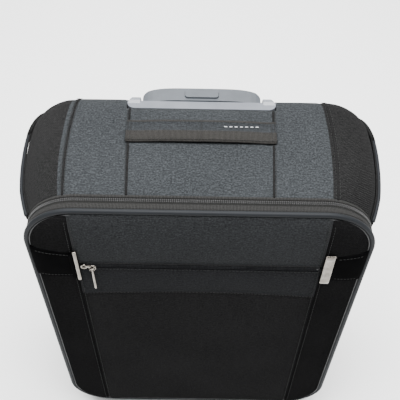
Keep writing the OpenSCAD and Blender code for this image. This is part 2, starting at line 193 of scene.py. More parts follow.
def shade(colour, factor):
    return tuple(c * factor for c in colour)


def fabric_look(name, colour, contrast, pitch, space="UV", twill=False, speck=2.2 * MM, sheen=0.03):
    """Woven cloth: crossing threads, melange specks, slubs along the weft and slow changes of tone."""
    look = Look(name, roughness=0.88, Sheen_Weight=sheen, Sheen_Roughness=0.45, Specular_IOR_Level=0.0)
    if twill:
        diagonal = look.place((1 / pitch, 1 / pitch, 1 / pitch), space, math.radians(55))
        weave = look.math("MULTIPLY", look.wave(diagonal, "X"),
                          look.math("ADD", look.math("MULTIPLY", look.wave(diagonal, "Y"), 0.4), 0.6))
    else:
        threads = look.place((1 / pitch, 1 / pitch, 1 / pitch), space)
        weave = look.math("MULTIPLY", look.wave(threads, "X"), look.wave(threads, "Y"))
    specks = look.noise(look.place((1 / speck, 1.3 / speck, 1 / speck), space), 1.0, 2.0, 0.75)
    slubs = look.noise(look.place((0.25 / speck, 1.6 / speck, 1 / speck), space), 1.0, 2.0, 0.6)
    slow = look.noise(look.place((11, 11, 11), "Object"), 1.0, 3.0)
    fleck = look.math("ADD", look.math("MULTIPLY", specks, 0.68), look.math("MULTIPLY", slubs, 0.32))
    tone = look.ramp(fleck, [(0.38, shade(colour, 1 - contrast)), (0.5, colour),
                             (0.62, shade(colour, 1 + 1.7 * contrast))])
    tone = look.mix(look.math("ADD", look.math("MULTIPLY", weave, 0.6), 0.4), shade(colour, 0.35), tone)
    tone = look.mix(0.3, tone, look.ramp(slow, [(0.3, shade(colour, 0.75)), (0.7, shade(colour, 1.25))]))
    look.colour(tone)
    look.bump(weave, pitch * 0.3, 0.7)
    look.bump(fleck, 0.5 * MM, 0.6)
    return look.material


def webbing_look(name, colour, pitch=2.2 * MM, space="UV"):
    """Narrow woven tape: ribs across the width and fine threads along it."""
    look = Look(name, roughness=0.8, Sheen_Weight=0.02, Specular_IOR_Level=0.02)
    where = look.place((1 / pitch, 1 / pitch, 1 / pitch), space)
    ribs = look.wave(where, "X")
    fine = look.wave(look.place((3 / pitch,) * 3, space), "Y")
    weave = look.math("MULTIPLY", ribs, look.math("ADD", look.math("MULTIPLY", fine, 0.4), 0.6))
    fuzz = look.noise(look.place((700, 700, 700), "Object"), 1.0, 2.0)
    look.colour(look.ramp(look.math("ADD", look.math("MULTIPLY", weave, 0.6),
                                    look.math("MULTIPLY", fuzz, 0.4)),
                          [(0.2, shade(colour, 0.3)), (0.5, colour), (0.85, shade(colour, 2.1))]))
    look.bump(weave, 0.35 * MM, 0.9)
    return look.material


def plastic_look(name, colour, roughness, grain=0.05 * MM, gloss=0.5):
    """Moulded plastic: fine spark-eroded grain, faint flow marks and rubbed patches."""
    look = Look(name, roughness=roughness, Specular_IOR_Level=gloss)
    fine = look.noise(look.place((1400, 1400, 1400)), 1.0, 2.0)
    slow = look.noise(look.place((22, 22, 60)), 1.0, 4.0, 0.6)
    look.colour(look.ramp(slow, [(0.3, shade(colour, 0.9)), (0.7, shade(colour, 1.1))]))
    look.rough(slow, roughness - 0.07, roughness + 0.1)
    look.bump(fine, grain, 0.6)
    return look.material


def metal_look(name, colour, roughness, stretch):
    """Metal with drawn or polishing marks along one axis and slightly uneven gloss. Its colour swings between
    darker and lighter patches, partly the marks and partly painted reflection.
    """
    look = Look(name, roughness=roughness, Metallic=1.0)
    marks_and_painted_reflection = look.noise(look.place(stretch), 1.0, 5.0, 0.65)
    # colour: darker and lighter patches, partly drawn marks and partly painted reflection of dark and bright
    # surroundings
    look.colour(look.ramp(marks_and_painted_reflection, [(0.36, shade(colour, 0.62)), (0.64, shade(colour, 1.15))]))
    look.rough(marks_and_painted_reflection, max(roughness - 0.06, 0.04), roughness + 0.1)
    look.bump(marks_and_painted_reflection, 0.02 * MM, 0.4)
    return look.material


def leather_look(name, colour):
    """Coated leather: small pebbled grain under a glossy skin."""
    look = Look(name, roughness=0.38, Coat_Weight=0.012, Coat_Roughness=0.2, Specular_IOR_Level=0.0)
    where = look.place((1, 1, 1))
    cells = look.add("ShaderNodeTexVoronoi", {"Vector": where, "Scale": 850.0}).outputs["Distance"]
    slow = look.noise(where, 60.0, 3.0)
    look.colour(look.ramp(slow, [(0.3, shade(colour, 0.8)), (0.7, shade(colour, 1.4))]))
    look.rough(slow, 0.3, 0.46)
    look.bump(cells, 0.06 * MM, 0.4)
    return look.material


def rubber_look(name, colour):
    look = Look(name, roughness=0.75)
    dust = look.noise(look.place((90, 90, 90)), 1.0, 5.0, 0.7)
    look.colour(look.ramp(dust, [(0.35, colour), (0.75, shade(colour, 2.4))]))
    look.rough(dust, 0.6, 0.9)
    look.bump(look.noise(look.place((1800,) * 3)), 0.06 * MM, 0.6)
    return look.material


def mesh_look(name, colour, pitch=3.2 * MM):
    """Open pocket mesh: holes between knitted threads, as see-through spots."""
    look = Look(name, roughness=0.7)
    holes = look.add("ShaderNodeTexVoronoi", {"Vector": look.place((1 / pitch,) * 3, "UV"),
                                              "Scale": 1.0, "Randomness": 0.0}).outputs["Distance"]
    knit = look.math("GREATER_THAN", holes, 0.33)
    fuzz = look.noise(look.place((900,) * 3), 1.0, 2.0)
    look.colour(look.ramp(fuzz, [(0.3, shade(colour, 0.7)), (0.7, shade(colour, 1.5))]))
    look.tree.links.new(knit, look.shader.inputs["Alpha"])
    look.bump(holes, 0.4 * MM, 0.6)
    return look.material


LOOKS = {
    "grey_fabric": fabric_look("grey_fabric", (0.0272, 0.0298, 0.0320), 0.95, 1.6 * MM),
    # painted shade: a darker copy of the grey fabric for the lid's front, which gets less light than the top
    "shaded_front_fabric": fabric_look("shaded_front_fabric", (0.0215, 0.0228, 0.0240), 0.9, 1.6 * MM),
    # painted shade: a still darker copy of the grey fabric for the pocket panel, lower on the front where less
    # light falls
    "shaded_pocket_fabric": fabric_look("shaded_pocket_fabric", (0.0134, 0.0140, 0.0150), 0.9, 1.6 * MM),
    "black_twill": fabric_look("black_twill", (0.0125, 0.0125, 0.0126), 0.75, 2.4 * MM, twill=True,
                               sheen=0.0),
    # painted shade: a darker copy of the black twill for the side strips on the lid's front
    "shaded_strip_twill": fabric_look("shaded_strip_twill", (0.0080, 0.0080, 0.0081), 0.7, 2.4 * MM, twill=True, sheen=0.0),
    "corner_twill": fabric_look("corner_twill", (0.0118, 0.0118, 0.0118), 0.85, 2.8 * MM, twill=True,
                                sheen=0.02),
    "navy_piping": plastic_look("navy_piping", (0.0105, 0.0116, 0.0132), 0.55, gloss=0.1),
    "black_webbing": webbing_look("black_webbing", (0.0200, 0.0198, 0.0192), 2.4 * MM),
    "handle_webbing": webbing_look("handle_webbing", (0.0225, 0.0216, 0.0202), 2.2 * MM),
    "handle_strip": fabric_look("handle_strip", (0.0235, 0.0256, 0.0276), 0.8, 1.6 * MM),
    "zip_coil": plastic_look("zip_coil", (0.012, 0.012, 0.012), 0.4),
    "zip_tape": webbing_look("zip_tape", (0.014, 0.014, 0.0135), 1.4 * MM),
    "lining": fabric_look("lining", (0.060, 0.064, 0.068), 0.3, 1.2 * MM, sheen=0.3),
    "mesh": mesh_look("mesh", (0.012, 0.012, 0.013)),
    "stiffener": plastic_look("stiffener", (0.012, 0.012, 0.013), 0.6),
    "grey_plastic": plastic_look("grey_plastic", (0.057, 0.063, 0.071), 0.36),
    "lip_plastic": plastic_look("lip_plastic", (0.105, 0.113, 0.128), 0.32),
    "black_plastic": plastic_look("black_plastic", (0.014, 0.014, 0.015), 0.5, 0.09 * MM),
    "tube_aluminium": metal_look("tube_aluminium", (0.40, 0.405, 0.41), 0.28, (300, 300, 6)),
    "bright_metal": metal_look("bright_metal", (0.20, 0.183, 0.160), 0.18, (90, 90, 90)),
    "steel": metal_look("steel", (0.17, 0.173, 0.176), 0.32, (250, 250, 250)),
    "black_leather": leather_look("black_leather", (0.0012, 0.0012, 0.0013)),
    "tyre": rubber_look("tyre", (0.016, 0.016, 0.017)),
    "thread": webbing_look("thread", (0.030, 0.030, 0.030), 0.5 * MM, "Object"),
    "pale_thread": webbing_look("pale_thread", (0.62, 0.63, 0.64), 0.5 * MM, "Object"),
}


# ---------------------------------------------------------------- mesh tools

def make_mesh(name, verts, faces, body, look, uvs=None):
    """A new piece from points and faces, with its UVs in metres, riding on a body."""
    mesh = bpy.data.meshes.new(name)
    mesh.from_pydata([tuple(v) for v in verts], [], faces)
    if uvs is not None:
        layer = mesh.uv_layers.new(name="UVMap")
        for loop in mesh.loops:
            layer.data[loop.index].uv = uvs[loop.vertex_index]
    mesh.polygons.foreach_set("use_smooth", [True] * len(mesh.polygons))
    obj = bpy.data.objects.new(name, mesh)
    bpy.context.scene.collection.objects.link(obj)
    obj.data.materials.append(LOOKS[look])
    if body:
        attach(obj, body)
    return obj


def apply_modifiers(obj):
    graph = bpy.context.evaluated_depsgraph_get()
    mesh = bpy.data.meshes.new_from_object(obj.evaluated_get(graph))
    obj.modifiers.clear()
    old = obj.data
    obj.data = mesh
    bpy.data.meshes.remove(old)
    return obj


def solidify(obj, thickness, offset=-1.0):
    modifier = obj.modifiers.new("thickness", "SOLIDIFY")
    modifier.thickness = thickness
    modifier.offset = offset
    return apply_modifiers(obj)


def bevel(obj, width, segments=3, angle=35):
    modifier = obj.modifiers.new("edges", "BEVEL")
    modifier.width = width
    modifier.segments = segments
    modifier.limit_method = "ANGLE"
    modifier.angle_limit = math.radians(angle)
    modifier.harden_normals = False
    return obj


def cut_boxes(obj, boxes):
    """Takes away boxes, each a (low corner, high corner)."""
    cutters = []
    for low, high in boxes:
        verts = [(x, y, z) for x in (low[0], high[0]) for y in (low[1], high[1])
                 for z in (low[2], high[2])]
        faces = [(0, 1, 3, 2), (4, 6, 7, 5), (0, 4, 5, 1), (2, 3, 7, 6), (0, 2, 6, 4), (1, 5, 7, 3)]
        mesh = bpy.data.meshes.new("cutter")
        mesh.from_pydata(verts, [], faces)
        cutter = bpy.data.objects.new("cutter", mesh)
        bpy.context.scene.collection.objects.link(cutter)
        modifier = obj.modifiers.new("cut", "BOOLEAN")
        modifier.operation = "DIFFERENCE"
        modifier.solver = "EXACT"
        modifier.object = cutter
        cutters.append(cutter)
    bpy.context.view_layer.update()
    apply_modifiers(obj)
    for cutter in cutters:
        bpy.data.objects.remove(cutter)
    return obj


CLOTH_STEPS = 12


def pod_cuts(clear):
    """Boxes round the wheel pods, with some clearance, that reach out past the case's rear corners."""
    cuts = []
    for node in ("wheel_pod_left", "wheel_pod_right"):
        low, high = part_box(node)
        x0, x1 = sorted((low.x - clear, CUT_REACH) if high.x > 0 else (high.x + clear, -CUT_REACH))
        cuts.append(((x0, low.y - clear, -0.1), (x1, CUT_REACH, high.z + clear)))
    return cuts


def turn_to(obj, direction, index=0):
    """Flips a sheet's faces if one of them looks away from a direction."""
    if obj.data.polygons[index].normal.dot(Vector(direction)) < 0:
        obj.data.flip_normals()


def puff(obj, pinned, pressure, cap):
    """Blows cloth out between its pinned seams by simulation, with a cap on how far it moves."""
    group = obj.vertex_groups.new(name="pin")
    group.add([int(i) for i in np.flatnonzero(pinned)], 1.0, "REPLACE")
    rest = np.array([v.co for v in obj.data.vertices])
    cloth = obj.modifiers.new("cloth", "CLOTH")
    cloth.settings.vertex_group_mass = "pin"
    cloth.settings.use_pressure = True
    cloth.settings.uniform_pressure_force = pressure
    cloth.settings.effector_weights.gravity = 0
    cloth.settings.tension_stiffness = 40
    cloth.settings.bending_stiffness = 4
    cloth.point_cache.frame_end = CLOTH_STEPS
    for step in range(1, CLOTH_STEPS + 1):
        bpy.context.scene.frame_set(step)
    graph = bpy.context.evaluated_depsgraph_get()
    done = obj.evaluated_get(graph).to_mesh()
    moved = np.array([v.co for v in done.vertices]) - rest
    obj.evaluated_get(graph).to_mesh_clear()
    obj.modifiers.clear()
    bpy.context.scene.frame_set(1)
    length = np.linalg.norm(moved, axis=1)
    soft = cap * np.tanh(length / cap)
    moved *= (soft / np.maximum(length, 1e-9))[:, None]
    for vertex, place in zip(obj.data.vertices, rest + moved):
        vertex.co = place
    obj.vertex_groups.clear()
    return obj


def outline_point(half, low, high, radius, distance):
    """Place and outward direction on a rounded rectangle, a distance along it from its top's middle."""
    side = 1 if distance >= 0 else -1
    d = abs(distance)
    top, arc, straight = half - radius, radius * math.pi / 2, high - low - 2 * radius
    if d <= top:
        x, z, nx, nz = d, high, 0, 1
    elif d <= top + arc:
        a = (d - top) / radius
        x, z, nx, nz = top + radius * math.sin(a), high - radius * (1 - math.cos(a)), math.sin(a), math.cos(a)
    elif d <= top + arc + straight:
        x, z, nx, nz = half, high - radius - (d - top - arc), 1, 0
    elif d <= top + 2 * arc + straight:
        a = (d - top - arc - straight) / radius
        x, z, nx, nz = top + radius * math.cos(a), low + radius * (1 - math.sin(a)), math.cos(a), -math.sin(a)
    else:
        x, z, nx, nz = top - (d - top - 2 * arc - straight), low, 0, -1
    return side * x, z, side * nx, nz


def outline_length(half, low, high, radius):
    """Half the length of a rounded rectangle."""
    return 2 * (half - radius) + radius * math.pi + high - low - 2 * radius


def section_at(y):
    """The shell's outline at y on a smooth curve through the sections: half width, low, high, radius."""
    ys = [s[0] for s in SHELL_SECTIONS]
    values = []
    for k in range(1, 5):
        v = [s[k] for s in SHELL_SECTIONS]
        i = min(max(sum(1 for q in ys if q <= y) - 1, 0), len(ys) - 2)
        h = ys[i + 1] - ys[i]
        t = (y - ys[i]) / h

        def slope(j):
            if j == 0 or j == len(ys) - 1:
                a, b = (0, 1) if j == 0 else (j - 1, j)
                return (v[b] - v[a]) / (ys[b] - ys[a])
            return (v[j + 1] - v[j - 1]) / (ys[j + 1] - ys[j - 1])
        m0, m1 = slope(i) * h, slope(i + 1) * h
        if i == len(ys) - 2:
            m1 = END_SLOPES[k - 1]
        t2, t3 = t * t, t * t * t
        values.append((2 * t3 - 3 * t2 + 1) * v[i] + (t3 - 2 * t2 + t) * m0
                      + (3 * t2 - 2 * t3) * v[i + 1] + (t3 - t2) * m1)
    return values


def spread(knots, spacing):
    """Distances through all the knots, at about an even spacing."""
    out = [knots[0]]
    for a, b in zip(knots, knots[1:]):
        n = max(1, round((b - a) / spacing))
        out += [a + (b - a) * (i + 1) / n for i in range(n)]
    return out


def soft_noise(x, y, z, scale):
    return noise.fractal(Vector((x, y, z)) * scale, 1.0, 2.0, 2)


def grid_faces(rows, columns, closed=False):
    """Quads over a grid of points held row by row."""
    faces = []
    for r in range(rows - 1):
        for c in range(columns if closed else columns - 1):
            d = (c + 1) % columns
            here, above = r * columns, (r + 1) * columns
            faces.append((here + c, here + d, above + d, above + c))
    return faces


def sweep(name, path, outward, profile, body, look, slot=None, closed=True):
    """Sweeps a profile of (out, across) offsets along a path. Across is square to the path and to out."""
    path = [Vector(p) for p in path]
    outward = [Vector(n) for n in outward]
    count, verts, uvs, run = len(profile), [], [], 0.0
    around = [0.0]
    for a, b in zip(profile, profile[1:]):
        around.append(around[-1] + math.dist(a, b))
    for i, (point, out) in enumerate(zip(path, outward)):
        if closed:
            ahead = path[(i + 1) % len(path)] - path[i - 1]
        else:
            ahead = path[min(i + 1, len(path) - 1)] - path[max(i - 1, 0)]
        if i:
            run += (point - path[i - 1]).length
        across = ahead.normalized().cross(out).normalized()
        for (o, a), along in zip(profile, around):
            verts.append(point + out * o + across * a)
            uvs.append((run, along))
    faces = []
    rows = len(path)
    for r in range(rows if closed else rows - 1):
        s = (r + 1) % rows
        for c in range(count):
            d = (c + 1) % count
            faces.append((r * count + c, s * count + c, s * count + d, r * count + d))
    if not closed:
        faces.append(tuple(range(count)))
        faces.append(tuple(reversed(range((rows - 1) * count, rows * count))))
    return tidy_normals(make_mesh(name, verts, faces, body, look, uvs))


def tidy_normals(obj):
    bm = bmesh.new()
    bm.from_mesh(obj.data)
    bmesh.ops.recalc_face_normals(bm, faces=bm.faces)
    bm.to_mesh(obj.data)
    bm.free()
    return obj


def round_profile(radius_out, radius_across, sides):
    angles = [2 * math.pi * i / sides for i in range(sides)]
    return [(radius_out * math.cos(a), radius_across * math.sin(a)) for a in angles]


def band_profile(out_low, out_high, width, steps=6, crown=0.0):
    """A flat band, its outer face crowned a little and its edges rounded."""
    top = []
    for i in range(steps + 1):
        t = -1 + 2 * i / steps
        top.append((out_high + crown * (1 - t * t), t * width / 2 * 0.96))
    return ([(out_low, -width / 2)] + [((out_low + out_high) / 2, -width / 2)] + top
            + [((out_low + out_high) / 2, width / 2), (out_low, width / 2)])


def ring_path(half, low, high, radius, y, spacing=4 * MM):
    """Points and outward directions round a rounded rectangle at one y."""
    total = outline_length(half, low, high, radius)
    count = round(2 * total / spacing)
    points, outs = [], []
    for i in range(count):
        x, z, nx, nz = outline_point(half, low, high, radius, -total + 2 * total * i / count)
        points.append((x, y, z))
        outs.append((nx, 0, nz))
    return points, outs


def beads(name, places, size, body, look):
    """Many small rounded bars in one mesh. A place is (centre, along, up), a size (length, width, height)."""
    outline = [(-0.5, 0), (-0.35, 0.5), (0.35, 0.5), (0.5, 0), (0.35, -0.5), (-0.35, -0.5)]
    verts, faces = [], []
    for centre, along, up in places:
        centre, along, up = Vector(centre), Vector(along).normalized(), Vector(up).normalized()
        side = along.cross(up).normalized()
        base = len(verts)
        for level, shrink in ((-0.5, 1.0), (0.25, 1.0), (0.5, 0.6)):
            for a, b in outline:
                verts.append(centre + along * (a * size[0] * shrink) + side * (b * size[1] * shrink)
                             + up * (level * size[2]))
        for level in (0, 6):
            for i in range(6):
                j = (i + 1) % 6
                faces.append((base + level + i, base + level + j, base + level + 6 + j, base + level + 6 + i))
        faces.append(tuple(base + 12 + i for i in range(6)))
        faces.append(tuple(base + 5 - i for i in range(6)))
    obj = make_mesh(name, verts, faces, body, look)
    return tidy_normals(obj)


def stitches(name, places, size, body):
    return beads(name, places, size, body, "thread")


def along_path(points, ups, pitch):
    """Even places along a path, as (centre, along, up)."""
    points = [Vector(p) for p in points]
    ups = [Vector(u) for u in ups]
    places, want, run = [], pitch / 2, 0.0
    for i in range(len(points) - 1):
        step = (points[i + 1] - points[i]).length
        while want <= run + step and step > 0:
            t = (want - run) / step
            places.append((points[i].lerp(points[i + 1], t), points[i + 1] - points[i],
                           ups[i].lerp(ups[i + 1], t)))
            want += pitch
        run += step
    return places


# ---------------------------------------------------------------- shell

SEAM_ANGLE = math.radians(72)


def shell_knots(half, radius, total, y):
    """Where seams cross the outline, as distances from the top's middle. They draw in towards the front."""
    top = half - radius
    centre = CENTRE_SEAM - 5.5 * MM * min(1, max(0, (54 * MM - y) / (132 * MM)))
    seam_x = CORNER_SEAM - 4 * MM * (y / FRONT_Y) ** 2
    corner = max(top + radius * math.asin(max(-1, min(1, (seam_x - top) / radius))), centre + 1 * MM)
    return [0, centre, corner, top + radius * SEAM_ANGLE, total / 2, total]


def shell_stations():
    """Outlines of the shell from its front edge to the middle of its back."""
    ys = spread([FRONT_Y, -40 * MM, 0, 45 * MM, 66 * MM], 5 * MM)
    ys += [y * MM for y in (70, 74, 77, 80, 82.5, 84.5, 86, 87.2, 87.8)]
    stations = [(y, *section_at(y)) for y in ys]
    half, low, high, radius = SHELL_SECTIONS[-1][1:]
    for inset in (0, 3, 8, 16):
        d = inset * MM
        stations.append((BACK_Y, half - d, low + d, high - d, max(radius - d, 3 * MM)))
    return stations


COLUMN_STEPS = (18, 14, 10, 44, 52)


def shell_columns(half, radius, total, y):
    knots = shell_knots(half, radius, total, y)
    right = [0.0]
    for (a, b), n in zip(zip(knots, knots[1:]), COLUMN_STEPS):
        right += [a + (b - a) * (i + 1) / n for i in range(n)]
    return [-d for d in reversed(right[1:])] + right[:-1]


def build_shell():
    stations = shell_stations()
    verts, uvs, pins, columns = [], [], [], 0
    for k, (y, half, low, high, radius) in enumerate(stations):
        total = outline_length(half, low, high, radius)
        distances = shell_columns(half, radius, total, y)
        columns = len(distances)
        for d in distances:
            x, z, nx, nz = outline_point(half, low, high, radius, d)
            ripple = 0.7 * MM * soft_noise(x, y, z, 14) if y < BACK_Y and k else 0
            verts.append((x + nx * ripple, y, z + nz * ripple))
            uvs.append((d, y if y < BACK_Y else y + (stations[-1][1] - half)))
    faces = grid_faces(len(stations), columns, closed=True)
    last = (len(stations) - 1) * columns
    faces.append(tuple(last + c for c in range(columns)))
    shell = make_mesh("shell", verts, faces, "case", "grey_fabric", uvs=uvs)
    for extra in ("corner_twill", "black_twill"):
        shell.data.materials.append(LOOKS[extra])
    ends = np.cumsum(COLUMN_STEPS)
    middle = ends[-1] - 1
    seams = {middle + s * e for e in (ends[0], ends[1], ends[2]) for s in (-1, 1)}
    flat = shell.data.uv_layers[0].data
    back_start = sum(1 for s in stations if s[0] < 80 * MM)
    for face in shell.data.polygons:
        if len(face.vertices) > 4:
            face.material_index = 2
            face.use_smooth = False
            for corner, vertex in zip(face.loop_indices, face.vertices):
                flat[corner].uv = (verts[vertex][0], verts[vertex][2])
            continue
        row, column = divmod(min(face.vertices), columns)
        columns_here = sorted(v % columns for v in face.vertices)
        step = min(abs(c - middle) for c in columns_here)
        if columns_here[-1] - columns_here[0] > 2:
            step = ends[-1]
        if row >= back_start:
            face.material_index = 2
        elif step >= ends[2]:
            face.material_index = 2
        elif step >= ends[1]:
            face.material_index = 1
    for i in range(len(verts)):
        row, column = divmod(i, columns)
        pins.append(row in (0, 1) or row >= back_start - 2 or column in seams
                    or abs(column - middle) > ends[2] + 30)
    tidy_normals(shell)
    puff(shell, pins, 3.0, 3.0 * MM)
    for seam in seams:
        for row in range(1, back_start):
            vertex = shell.data.vertices[row * columns + seam]
            y, half, low, high, radius = stations[row]
            total = outline_length(half, low, high, radius)
            nx, nz = outline_point(half, low, high, radius, shell_columns(half, radius, total, y)[seam])[2:]
            vertex.co.x -= nx * 0.9 * MM
            vertex.co.z -= nz * 0.9 * MM
    solidify(shell, WALL)
    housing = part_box("handle_housing")
    side = housing[1].x + 0.3 * MM
    cut_boxes(shell, [((-side, HOUSING_BACK_Y, HOUSING_BACK_Z), (side, 0.2, 0.7)),
                      ((-side, HOUSING_TOP_Y, HOUSING_TOP_Z), (side, 0.1, 0.7))] + pod_cuts(0.3 * MM))
    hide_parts("shell_fabric")


build_shell()


def shell_line(y_from, y_to, distance_of, lift=0.0, step=4 * MM):
    """A line on the shell's outside, at a distance round the outline that may change with y."""
    points, ups = [], []
    for y in spread([y_from, y_to], step):
        half, low, high, radius = section_at(y)
        x, z, nx, nz = outline_point(half, low, high, radius, distance_of(half, low, high, radius, y))
        points.append((x + nx * lift, y, z + nz * lift))
        ups.append((nx, 0, nz))
    return points, ups


def seam_distance(index, side=1, shift=0.0):
    def distance(half, low, high, radius, y):
        total = outline_length(half, low, high, radius)
        return side * (shell_knots(half, radius, total, y)[index] + shift)
    return distance


def build_shell_trim():
    """Topstitching beside the seams, the piping on the corners and the tabs that cover its ends."""
    for side, name in ((-1, "left"), (1, "right")):
        for index, kind in ((1, "centre"), (2, "corner")):
            end = 52 * MM if index == 1 else 79 * MM
            places = []
            for shift in ((2.2 * MM,) if index == 1 else (-2.2 * MM, 2.2 * MM)):
                points, ups = shell_line(FRONT_Y + 3 * MM, end, seam_distance(index, side, shift), 1.0 * MM)
                places += along_path(points, ups, 4.2 * MM)
            stitches(f"stitches_{kind}_{name}", places, (3.0 * MM, 0.6 * MM, 0.6 * MM), "case")
            cord, ups = shell_line(FRONT_Y + 1 * MM, end, seam_distance(index, side), 0.4 * MM)
            sweep(f"seam_{kind}_{name}", cord, ups, round_profile(1.0 * MM, 1.3 * MM, 8), "case",
                  "corner_twill", "black_twill", closed=False)
        points, ups = shell_line(-75 * MM, 50 * MM, seam_distance(3, side), 2.4 * MM)
        piping = sweep(f"corner_piping_{name}", points, ups, round_profile(2.4 * MM, 2.4 * MM, 12), "case",
                       "navy_piping", closed=False)
        sweep(f"piping_flange_{name}", *shell_line(-75 * MM, 50 * MM, seam_distance(3, side), 0.9 * MM),
              band_profile(-1 * MM, 0.6 * MM, 12 * MM), "case", "black_twill", closed=False)
        tab = sweep(f"rear_tab_{name}", *shell_line(45 * MM, 82 * MM, seam_distance(3, side), 1.2 * MM),
                    band_profile(-1.5 * MM, 2.4 * MM, 20 * MM, crown=1.4 * MM), "case", "corner_twill",
                    "black_twill", closed=False)
        if side == 1:
            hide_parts("corner_piping")
            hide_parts("rear_corner_tabs")
        places = []
        for shift in (-8 * MM, 8 * MM):
            line = shell_line(47 * MM, 80 * MM, seam_distance(3, side, shift), 3.7 * MM)
            places += along_path(*line, 4.0 * MM)
        stitches(f"tab_stitches_{name}", places, (2.8 * MM, 0.6 * MM, 0.6 * MM), "case")
    binding = ring_path(HALF_W - 0.6 * MM, LOW + 0.6 * MM, HIGH - 0.6 * MM, CORNER, -77.2 * MM)
    sweep("shell_binding", *binding, band_profile(-4.5 * MM, 1.6 * MM, 3.4 * MM, crown=0.5 * MM), "case",
          "black_webbing")


build_shell_trim()


# ---------------------------------------------------------------- zippers

def build_ring_zip():
    """Half of the main zipper on the shell and half on the lid, with their coils meeting between them.
    The coils stop short of the fabric hinge at the bottom."""
    half, low, high = HALF_W + 0.2 * MM, LOW - 0.2 * MM, HIGH + 0.2 * MM
    for name, body, node, middle, toward in (
            ("shell_zip", "case", "shell_zip_tape", -80.1 * MM, -1),
            ("lid_zip", "lid", "lid_zip_tape", -84.1 * MM, 1)):
        path = ring_path(half, low, high, CORNER, middle)
        tape = sweep(f"{name}_tape", *path, band_profile(-2 * MM, -0.3 * MM, 3.6 * MM), body, "zip_tape",
                     "zip_coil")
        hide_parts(node)
        points, outs = ring_path(half, low, high, CORNER, middle + toward * 0.9 * MM, 2 * MM)
        closed_points, closed_outs = points + points[:1], outs + outs[:1]
        places = [(c, Vector((0, 1, 0)), up) for c, _, up in along_path(closed_points, closed_outs, 2.1 * MM)
                  if c.z > LOW + 16 * MM]
        beads(f"{name}_coil", places, (2.2 * MM, 1.3 * MM, 1.6 * MM), body, "zip_coil")


build_ring_zip()


# ---------------------------------------------------------------- lid

def build_lid_rings():
    piping = sweep("lid_piping", *ring_path(HALF_W - 0.5 * MM, LOW + 0.5 * MM, HIGH - 0.5 * MM, CORNER,
                                             -97.1 * MM),
                   round_profile(3.0 * MM, 2.9 * MM, 16), "lid", "navy_piping")
    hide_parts("lid_piping")
    gusset = sweep("lid_gusset", *ring_path(HALF_W, LOW, HIGH, CORNER, -90 * MM),
                   band_profile(-3 * MM, 0.3 * MM, 7.6 * MM, 8, 0.5 * MM), "lid", "black_webbing")
    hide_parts("lid_gusset")
    for name, y in (("rear", -87.2 * MM), ("front", -92.6 * MM)):
        points, outs = ring_path(HALF_W + 0.55 * MM, LOW - 0.55 * MM, HIGH + 0.55 * MM, CORNER, y)
        stitches(f"gusset_stitches_{name}", along_path(points, outs, 4.0 * MM), PLAIN_STITCH, "lid")


build_lid_rings()

PANEL_HALF = HALF_W - 2.6 * MM
PANEL_LOW = LOW + 2.6 * MM
PANEL_HIGH = HIGH - 2.6 * MM
PANEL_CORNER = CORNER - 2.6 * MM
PANEL_TUCK = 1.6 * MM
CORNER_ROWS = (47, 54, 61, 68, 75, 82, 87, 90)


def edge_distance(x, z):
    """How far a point of the lid's front is inside its rounded outline."""
    qx = abs(x) - (PANEL_HALF - PANEL_CORNER)
    qz = abs(z - (PANEL_LOW + PANEL_HIGH) / 2) - ((PANEL_HIGH - PANEL_LOW) / 2 - PANEL_CORNER)
    outside = math.hypot(max(qx, 0), max(qz, 0)) + min(max(qx, qz), 0)
    return max(PANEL_CORNER - outside, 0)


def front_y(x, z):
    """The lid's front surface: it rises steeply from the piping and is nearly flat in the middle."""
    d = edge_distance(x, z)
    return LID_FRONT_Y + 0.6 * MM - 6.2 * MM * (1 - math.exp(-d / (11 * MM)))


def half_width_at(z):
    top, bottom = PANEL_HIGH - PANEL_CORNER, PANEL_LOW + PANEL_CORNER
    over = max(z - top, bottom - z, 0)
    return PANEL_HALF - PANEL_CORNER + math.sqrt(max(PANEL_CORNER ** 2 - over ** 2, 0))


def strip_x(z):
    """Where the centre panel meets the side strip."""
    return min(STRIP_SEAM, half_width_at(z) - 3 * MM)


def seam_dip(z, x):
    """The lower seam droops towards its ends, and the cloth near it follows."""
    near = math.exp(-((z - LOWER_SEAM_Z) / (30 * MM)) ** 2)
    return -7 * MM * (x / STRIP_SEAM) ** 2 * near


def panel(name, z_low, z_high, side, look, replaced=(), cap=3 * MM):
    """One fabric panel of the lid's front. side 0 is the middle, -1 and 1 the strips beside it."""
    rows = spread([z_low, z_high], 5 * MM)
    turns = [PANEL_CORNER * (1 - math.sin(math.radians(a))) for a in CORNER_ROWS]
    if z_high > PANEL_HIGH - 1 * MM:
        rows = [z for z in rows if z < PANEL_HIGH - 16 * MM] + [PANEL_HIGH - turn for turn in turns]
    if z_low < PANEL_LOW + 1 * MM:
        rows = [PANEL_LOW + turn for turn in reversed(turns)] + [z for z in rows if z > PANEL_LOW + 16 * MM]
    columns = 58 if side == 0 else 12
    verts, uvs, pins = [], [], []
    for z in rows:
        inner, outer = strip_x(z), half_width_at(z)
        for c in range(columns + 1):
            t = c / columns
            x = -inner + 2 * inner * t if side == 0 else side * (inner + (outer - inner) * t)
            y = front_y(x, z)
            edge_z = min(z - rows[0], rows[-1] - z)
            edge_x = min(t, 1 - t) * (2 * inner if side == 0 else outer - inner)
            sunk = PANEL_TUCK * (math.exp(-edge_z / (2.2 * MM)) + math.exp(-edge_x / (2.2 * MM)))
            inside = min(1, edge_z / (20 * MM), edge_x / (20 * MM))
            soft = 0.5 * MM * soft_noise(x, 0.3, z, 11) * inside
            dip = seam_dip(z, x) if side == 0 else 0
            verts.append((x, y + min(sunk, PANEL_TUCK) + soft, z + dip))
            uvs.append((x, z))
            pins.append(edge_z < 1 * MM or edge_x < 1 * MM)
    faces = grid_faces(len(rows), columns + 1)
    obj = make_mesh(name, verts, faces, "lid", look, uvs)
    turn_to(obj, FRONT, len(faces) // 2)
    puff(obj, pins, 2.0, cap)
    solidify(obj, 1.8 * MM)
    if replaced:
        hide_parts(*replaced)


